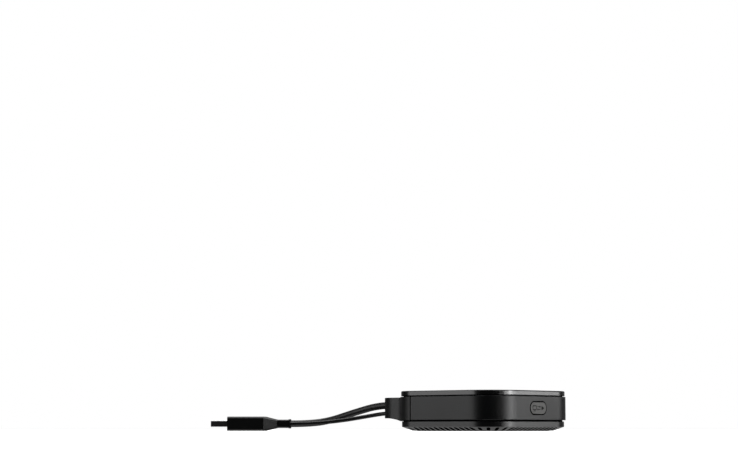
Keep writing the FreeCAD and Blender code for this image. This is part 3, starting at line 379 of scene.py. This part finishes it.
class PaintBox:
    """One material and its nodes."""

    def __init__(self, name):
        self.material = bpy.data.materials.new(name)
        self.material.use_nodes = True
        self.tree = self.material.node_tree
        self.shader = self.tree.nodes["Principled BSDF"]
        self.end = self.tree.nodes["Material Output"]
        self.places = self.tree.nodes.new("ShaderNodeTexCoord")

    def add(self, kind, settings=None, values=None, output=0):
        node = self.tree.nodes.new(kind)
        for key, value in (settings or {}).items():
            setattr(node, key, value)
        for key, value in (values or {}).items():
            self.feed(node.inputs[key], value)
        return Level(self, node.outputs[output])

    def feed(self, socket, value):
        if isinstance(value, Level):
            self.tree.links.new(value.socket, socket)
        else:
            socket.default_value = value

    def set(self, **values):
        for key, value in values.items():
            self.feed(self.shader.inputs[key.replace("_", " ")], value)

    def part_of(self, output, axis):
        """One coordinate of the place, or of the direction that the surface faces."""
        where = Level(self, self.places.outputs[output])
        return self.add("ShaderNodeSeparateXYZ", {}, {0: where}, output="XYZ".index(axis))

    def noise(self, scale, detail=2.0, stretch=None):
        """Noise from 0 to 1; scale is in waves per metre."""
        where = Level(self, self.places.outputs["Object"])
        if stretch:
            where = self.add("ShaderNodeMapping", {}, {"Vector": where, "Scale": stretch})
        return self.add("ShaderNodeTexNoise", {}, {"Vector": where, "Scale": scale, "Detail": detail})

    def blend(self, share, first, second):
        """The first colour where share is 0 and the second where it is 1."""
        values = {0: share, 6: (*first, 1.0), 7: (*second, 1.0)}
        return self.add("ShaderNodeMix", {"data_type": "RGBA"}, values, output=2)

    def bump(self, height, depth):
        """Raises the surface by height, from 0 to 1, times depth in metres."""
        values = {"Height": height, "Distance": depth, "Strength": 1.0}
        self.set(Normal=self.add("ShaderNodeBump", {}, values))

    def instead(self, share, kind):
        """Another shader takes the finish's place where share is 1."""
        other = self.tree.nodes.new(kind)
        either = self.tree.nodes.new("ShaderNodeMixShader")
        self.feed(either.inputs[0], share)
        self.tree.links.new(self.shader.outputs[0], either.inputs[1])
        self.tree.links.new(other.outputs[0], either.inputs[2])
        self.tree.links.new(either.outputs[0], self.end.inputs["Surface"])
        return other

    def paint_gap_shade(self, share):
        """Paints shade: the finish turns into plain black, the shade of a gap that no light reaches, where
        share is 1.
        """
        self.instead(share, "ShaderNodeBsdfDiffuse").inputs["Color"].default_value = PAINTED_GAP_SHADE


def tinted(colour, amount):
    return tuple(c * amount for c in colour)


print("paint box ready")

# %% [markdown]
# ## The black of the gaps
# The seams between the mouldings, and the insides of the vents, are deep and narrow, and on the real part
# they lie in black shade. A few bright lights and a hidden floor would leave a grey glow in them, so the
# shade
# is painted: the hidden necks behind the seams and the walls of the vents take a plain black. It could be
# painted on chosen faces, but a mask from the height, place or direction of the surface needs no edit of a
# imported mesh.

# %% Where the seams lie
LOWER_SEAM = 0.00085
UPPER_SEAM = 0.00045
REAR_SEAM = 0.0009
SLACK = 0.00005

ring_low, ring_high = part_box("side_ring")
band_top = ring_low.z - LOWER_SEAM
lid_bottom = ring_high.z + UPPER_SEAM
rear_cover_face = ring_high.y + REAR_SEAM + SLACK


# painted shade: the lid below its own wall, in the upper seam, is painted black
def lid_seam_shade(box):
    return box.part_of("Object", "Z") < lid_bottom


# painted shade: the rear cover where it reaches into the seam with the side ring is painted black
def rear_seam_shade(box):
    return box.part_of("Object", "Y") < rear_cover_face


print("seams at", round(band_top * 1000, 2), "and", round(lid_bottom * 1000, 2), "mm up")

# %% [markdown]
# The rounded rims of the vents and of the key's gap lie in the same shade, so there the painted black
# reaches a little past the edge. A slot is all that lies within a radius of a short middle line, so its
# mask
# needs two distances: off to the side of the line, and past the line's end. Folding the pattern by the
# pitch gives all the slots of a row at once, and the smaller and the larger of x and y give all four rows.

# %% The vents
SKIRT_TOP = 0.0028
BODY_HALF_SIDE = 0.046
VENT_INSET = 0.0051  # from the body's side to the middle of a slot
VENT_MIDDLE = BODY_HALF_SIDE - VENT_INSET
VENT_PITCH = 0.047 / 11  # twelve slots, 47 mm from the first to the last
VENT_ROW_END = 0.0250
VENT_RADIUS = 0.001175
VENT_REACH = 0.0028  # half of a slot's length
OUTER_SLOPE = -0.7  # the skirt's outside faces down more than this, a slot's walls less
# how far the painted shade reaches past an edge, and in from the key's edge
RIM = 0.00025


def within(off, along, radius):
    """1 where a point lies nearer than radius, by its two distances."""
    return (off * off + along * along) < radius * radius


def base_gap_shade(box):
    """Painted shade: the neck above the lower band, and the vents in the skirt with their rims."""
    level = box.part_of("Object", "Z")
    walls = box.part_of("Normal", "Z") > OUTER_SLOPE
    x = abs(box.part_of("Object", "X"))
    y = abs(box.part_of("Object", "Y"))
    along_row = x.least(y)
    off = abs((along_row * (1 / VENT_PITCH)).fraction() - 0.5) * VENT_PITCH
    past = abs(x.most(y) - VENT_MIDDLE) - (VENT_REACH - VENT_RADIUS)
    rims = within(off, past.most(0.0), VENT_RADIUS + RIM) * (along_row < VENT_ROW_END)
    vents = (level < SKIRT_TOP) * walls.most(rims)
    return (level > band_top).most(vents)


print("vents every", round(VENT_PITCH * 1000, 2), "mm")

# %% The key's gap
KEY_HALF_WIDTH = 0.0087
KEY_HALF_HEIGHT = 0.00405
KEY_GAP = 0.00035
FRONT_WALL = -0.0440  # in front of this lie the wall's outer 2 mm


def key_reach(box):
    """The two distances from the key's middle line."""
    side = abs(box.part_of("Object", "X")) - (KEY_HALF_WIDTH - KEY_HALF_HEIGHT)
    return side.most(0.0), box.part_of("Object", "Z") - KEY_MIDDLE


def key_rim_shade(box):
    """Painted shade on the rounded edge of the key itself."""
    return 1 - within(*key_reach(box), KEY_HALF_HEIGHT - RIM)


def key_hole_shade(box):
    """Painted shade in the hole in the front wall, and on its edge."""
    front = box.part_of("Object", "Y") < FRONT_WALL
    return front * within(*key_reach(box), KEY_HALF_HEIGHT + KEY_GAP + RIM)


print("key", round(KEY_HALF_WIDTH * 2000, 1), "by", round(KEY_HALF_HEIGHT * 2000, 1), "mm")

# %% [markdown]
# ## Moulded plastics
# The housing is one family of near-black plastics. The band round the body has a fine spark-eroded grain
# that spreads a reflection, the covers above and below it are smoother, and the key is a lighter warm grey.
# The colour hardly changes over such parts. What the eye sees is the gloss, so the grain goes into the bump
# and the roughness, and the colour only gets a faint cloudiness.

# %% A plastic finish
WALL_COLOUR = (0.0050, 0.0053, 0.0058)
COVER_COLOUR = (0.0060, 0.0062, 0.0065)
TINT = 0.12
CLOUD_SCALE = 60.0
SMOOTH = 0.0000004
RIM_ROUGHNESS = 0.24
TOP_ROUGHNESS = 0.40
TOP_SKIN = 0.0001
finishes = {}


def moulded(name, colour, roughness, grain=4500.0, depth=0.000004, gloss=0.5, dark=None):
    """Grain is in waves per metre, depth in metres; dark is the mask where shade is painted black into the
    gaps.
    """
    box = PaintBox(name)
    fine = box.noise(grain, 3.0)
    broad = box.noise(CLOUD_SCALE, 2.0)
    if callable(roughness):
        roughness = roughness(box)
    box.set(Base_Color=box.blend(broad, tinted(colour, 1 - TINT), tinted(colour, 1 + TINT)),
            Roughness=roughness + 0.05 * (broad - 0.5) + 0.06 * (fine - 0.5),
            Specular_IOR_Level=gloss)
    box.bump(fine, depth)
    if dark:
        box.paint_gap_shade(dark(box))
    finishes[name] = box.material


def lid_roughness(box):
    """The flat top has a finer-grained, duller finish than the rim round it."""
    top = box.part_of("Object", "Z") > cad_high.z - TOP_SKIN
    return RIM_ROUGHNESS + (TOP_ROUGHNESS - RIM_ROUGHNESS) * top


print("plastic recipe ready")

# %% Mix the plastics
# the dark masks paint black shade into the seams, the vents and the key's gap
moulded("wall_plastic", WALL_COLOUR, 0.38, gloss=0.41, dark=key_hole_shade)
moulded("rear_plastic", WALL_COLOUR, 0.38, gloss=0.41, dark=rear_seam_shade)
moulded("cover_plastic", COVER_COLOUR, lid_roughness, depth=SMOOTH, gloss=0.75, dark=lid_seam_shade)
moulded("base_plastic", COVER_COLOUR, 0.30, depth=SMOOTH, gloss=0.47, dark=base_gap_shade)
moulded("button_plastic", (0.010, 0.0102, 0.0107), 0.42, grain=3500.0)
moulded("key_plastic", (0.065, 0.064, 0.060), 0.40, grain=5200.0, dark=key_rim_shade)
moulded("print_ink", (0.004, 0.004, 0.004), 0.60, gloss=0.1)
moulded("plug_plastic", (0.005, 0.005, 0.0052), 0.38, grain=3800.0)
moulded("plug_insert_plastic", (0.020, 0.020, 0.021), 0.30)
moulded("inner_plastic", (0.060, 0.060, 0.062), 0.50)
moulded("package_black", (0.022, 0.022, 0.024), 0.55, grain=9000.0)
moulded("wire_plastic", (0.30, 0.30, 0.32), 0.35)
moulded("lamp_white", (0.85, 0.85, 0.80), 0.25)
moulded("board_laminate", (0.012, 0.075, 0.040), 0.28, grain=1500.0)
print(len(finishes), "plastics mixed")

# %% [markdown]
# ## Rubber
# The jackets are soft black rubber, a little greasy, with faint draw marks. The pad has a coarser matt
# grain. Rubber differs from plastic mostly in how dull it is and how unevenly so.

# %% Rubber finishes
RUBBER_CLOUD = 180.0


def rubber(name, colour, roughness, grain, depth):
    box = PaintBox(name)
    fine = box.noise(grain, 4.0)
    cloud = box.noise(RUBBER_CLOUD, 2.0)
    box.set(Base_Color=box.blend(cloud, tinted(colour, 0.85), tinted(colour, 1.15)),
            Roughness=roughness + 0.12 * (fine - 0.5) + 0.08 * (cloud - 0.5))
    box.bump(fine, depth)
    finishes[name] = box.material


rubber("jacket_rubber", (0.006, 0.006, 0.0062), 0.46, 2600.0, 0.000006)
rubber("pad_rubber", (0.018, 0.018, 0.0185), 0.80, 1900.0, 0.00003)
rubber("thermal_rubber", (0.30, 0.33, 0.38), 0.70, 1900.0, 0.00002)
print(len(finishes), "finishes with the rubbers")

# %% [markdown]
# ## Metals
# The plug shells are stamped sheet steel with a bright plating, drawn along their length, so the scratches
# run that way. The contacts are gilt. Inside there are a brushed heat spreader and zinc-plated screws. A
# noise that is stretched in one direction gives the brushing.

# %% Metal finishes
DRAW_SCALE = 1400.0
DRAW_DEPTH = 0.0000015
STAIN_SCALE = 90.0


def plated(name, colour, roughness, stretch=None):
    box = PaintBox(name)
    drawn = box.noise(DRAW_SCALE, 3.0, stretch)
    stain = box.noise(STAIN_SCALE, 3.0)
    box.set(Base_Color=box.blend(stain, tinted(colour, 0.90), colour), Metallic=1.0,
            Roughness=roughness + 0.10 * (drawn - 0.5) + 0.06 * (stain - 0.5))
    box.bump(drawn, DRAW_DEPTH)
    finishes[name] = box.material


plated("steel", (0.66, 0.66, 0.65), 0.24, (0.25, 0.25, 1.0))
plated("contact_metal", (0.83, 0.62, 0.25), 0.22)
plated("spreader_aluminium", (0.78, 0.79, 0.80), 0.34, (1.0, 0.04, 1.0))
print(len(finishes), "finishes with the metals")

# %% [markdown]
# ## The light ring
# The ring round the button is frosted clear plastic that carries the light of the lamps below. Switched off
# it looks milky grey. A rough transmission with a little milk in the base colour does that.

# %% Frosted plastic
ring_box = PaintBox("clear_plastic")
frost = ring_box.noise(5000.0, 3.0)
ring_box.set(Base_Color=ring_box.blend(frost, (0.62, 0.65, 0.67), (0.74, 0.77, 0.79)),
             Roughness=0.34 + 0.10 * (frost - 0.5), Transmission_Weight=0.45, IOR=1.49)
ring_box.bump(frost, 0.000003)
finishes["clear_plastic"] = ring_box.material
print(len(finishes), "finishes with the light ring's")

# %% [markdown]
# ## Dressing
# The record names a material slot for every node, so one loop dresses them all. The lower and the rear
# cover share their slots with other pieces but have gaps of their own, so each then gets its own finish
# with its own painted shade.

# %% Give every piece its finish
def dress(piece, finish):
    piece.data.materials.clear()
    piece.data.materials.append(finishes[finish])


for part in frame["record"]["subparts"]:
    dress(nodes[part["node"]], part["material_slot"])
dress(nodes["bottom_cover"], "base_plastic")
dress(nodes["rear_cover"], "rear_plastic")
for lead in leads.values():
    dress(lead, "jacket_rubber")
dress(marks, "print_ink")
dress(spring, "steel")
print(len(finishes), "finishes on", len(nodes), "nodes")

# %% [markdown]
# ## Studio floor
# The product was shot on white. The floor is white for the camera, but it doesn't show in reflections,
# where it would wash the plastics out. It casts no shadow and can be seen through from below, so that the
# underside can be looked at too.

# %% Lay the floor
FLOOR_SIDE = 8.0
FLOOR_DROP = 0.00005


def make_floor():
    bpy.ops.object.select_all(action="DESELECT")
    bpy.ops.mesh.primitive_plane_add(size=FLOOR_SIDE, location=(0.0, 0.0, -FLOOR_DROP))
    floor = bpy.context.object
    floor.name = "studio_floor"
    box = PaintBox("studio_floor")
    paper = box.noise(9.0, 2.0)
    box.set(Base_Color=box.blend(paper, (0.90, 0.90, 0.90), (0.93, 0.93, 0.93)), Roughness=0.9,
            Specular_IOR_Level=0.0, Emission_Color=(1.0, 1.0, 1.0, 1.0), Emission_Strength=0.90)
    side = box.tree.nodes.new("ShaderNodeNewGeometry")
    box.instead(Level(box, side.outputs["Backfacing"]), "ShaderNodeBsdfTransparent")
    floor.data.materials.append(box.material)
    floor.visible_glossy = False
    floor.visible_diffuse = False
    floor.visible_shadow = False


make_floor()
print("floor laid")

# %% [markdown]
# The backdrop is white for the camera too, and nearly black for every other ray, which leaves the modelling
# of the dark plastics to the lights.

# %% Hang the backdrop
SEEN_WHITE = (1.0, 1.0, 1.0, 1.0)
FILL_GREY = (0.005, 0.005, 0.005, 1.0)


def make_world():
    world = bpy.data.worlds.new("studio")
    bpy.context.scene.world = world
    world.use_nodes = True
    tree = world.node_tree
    backdrop = tree.nodes["Background"]
    backdrop.inputs["Color"].default_value = SEEN_WHITE
    fill = tree.nodes.new("ShaderNodeBackground")
    fill.inputs["Color"].default_value = FILL_GREY
    ray = tree.nodes.new("ShaderNodeLightPath")
    either = tree.nodes.new("ShaderNodeMixShader")
    tree.links.new(ray.outputs["Is Camera Ray"], either.inputs[0])
    tree.links.new(fill.outputs[0], either.inputs[1])
    tree.links.new(backdrop.outputs[0], either.inputs[2])
    tree.links.new(either.outputs[0], tree.nodes["World Output"].inputs["Surface"])


make_world()
print("backdrop hung")

# %% [markdown]
# ## Lights
# There is a long soft light overhead, a strong narrow one to the right and a weaker wide one at the left,
# low enough to show in the upright faces. Nothing stands in front, which is why the near corner of the puck
# goes black. Two weak boxes behind the puck keep its back from going flat.

# %% Soft boxes
def way_to(azimuth, height):
    """The direction from the puck to azimuth degrees right of the camera and height degrees up."""
    turn = math.atan2(toward_camera.y, toward_camera.x) + math.radians(azimuth)
    rise = math.radians(height)
    return Vector((math.cos(turn) * math.cos(rise), math.sin(turn) * math.cos(rise), math.sin(rise)))


def new_light(name, kind, power):
    lamp = bpy.data.lights.new(name, kind)
    lamp.energy = power
    light = bpy.data.objects.new(name, lamp)
    bpy.context.scene.collection.objects.link(light)
    light.visible_camera = False
    return light


def aim_light(light, target, way, distance):
    light.location = Vector(target) + way * distance
    light.rotation_mode = "QUATERNION"
    light.rotation_quaternion = way.to_track_quat("Z", "Y")


PUCK_MIDDLE = (0.0, 0.0, 0.013)
SOFT_BOXES = {
    # name: azimuth and height in degrees, distance, width and tallness in metres, power in watts
    "overhead_box": (160.0, 72.0, 1.2, 1.6, 1.2, 18.0),
    "right_strip": (75.0, 2.7, 0.8, 0.75, 0.10, 1.87),
    "right_tail": (105.0, 2.7, 0.8, 0.14, 0.10, 0.20),
    "right_core": (75.0, 11.3, 0.8, 0.14, 0.34, 1.6),
    "left_box": (-74.5, 12.0, 1.5, 1.34, 0.9, 7.8),
    "back_right_box": (150.0, 12.0, 1.5, 0.9, 0.9, 0.5),
    "back_left_box": (-150.0, 12.0, 1.5, 0.9, 0.9, 0.25),
}
for name, (azimuth, height, distance, width, tall, power) in SOFT_BOXES.items():
    soft_box = new_light(name, "AREA", power)
    soft_box.data.shape = "RECTANGLE"
    soft_box.data.size = width
    soft_box.data.size_y = tall
    aim_light(soft_box, PUCK_MIDDLE, way_to(azimuth, height), distance)
print(len(SOFT_BOXES), "soft boxes")

# %% [markdown]
# The white table throws light back up. Under the skirt a low sheet of light stands for that, and a weak sun
# from straight below stands for the rest of the table, which lights the undersides of the plugs and leads.

# %% The table's light
SHEET_POWER = 0.0125
SHEET_HEIGHT = 0.00005
GLOW_POWER = 0.8

table_sheet = new_light("table_bounce", "AREA", SHEET_POWER)
table_sheet.data.shape = "SQUARE"
table_sheet.data.size = 2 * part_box("bottom_cover")[1].x
table_sheet.location = (0.0, 0.0, SHEET_HEIGHT)
table_sheet.rotation_euler = (math.pi, 0.0, 0.0)
table_glow = new_light("table_glow", "SUN", GLOW_POWER)
table_glow.data.angle = math.radians(50.0)
table_glow.rotation_euler = (math.pi, 0.0, 0.0)
print("table lit over", round(table_sheet.data.size * 1000, 1), "mm")

# %% [markdown]
# The plugs lie far out to the side, where the soft boxes miss the tapers of their grips. A narrow soft spot
# is aimed at the nearer plug for that.

# %% The spot on the plugs
plug_low, plug_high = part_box("usb_plug_housing")
plug_spot = new_light("plug_snoot", "SPOT", 0.5)
plug_spot.data.shadow_soft_size = 0.04
plug_spot.data.spot_size = math.radians(14.0)
plug_spot.data.spot_blend = 0.6
aim_light(plug_spot, (plug_low + plug_high) / 2, way_to(azimuth=45.0, height=8.0), distance=0.35)
print("spot aimed at the plug")

# %% [markdown]
# The photograph's white is plain white, so the picture is shown without a film look, which would grey it.

# %% Show plain colours
bpy.context.scene.view_settings.view_transform = "Standard"
print("studio set")
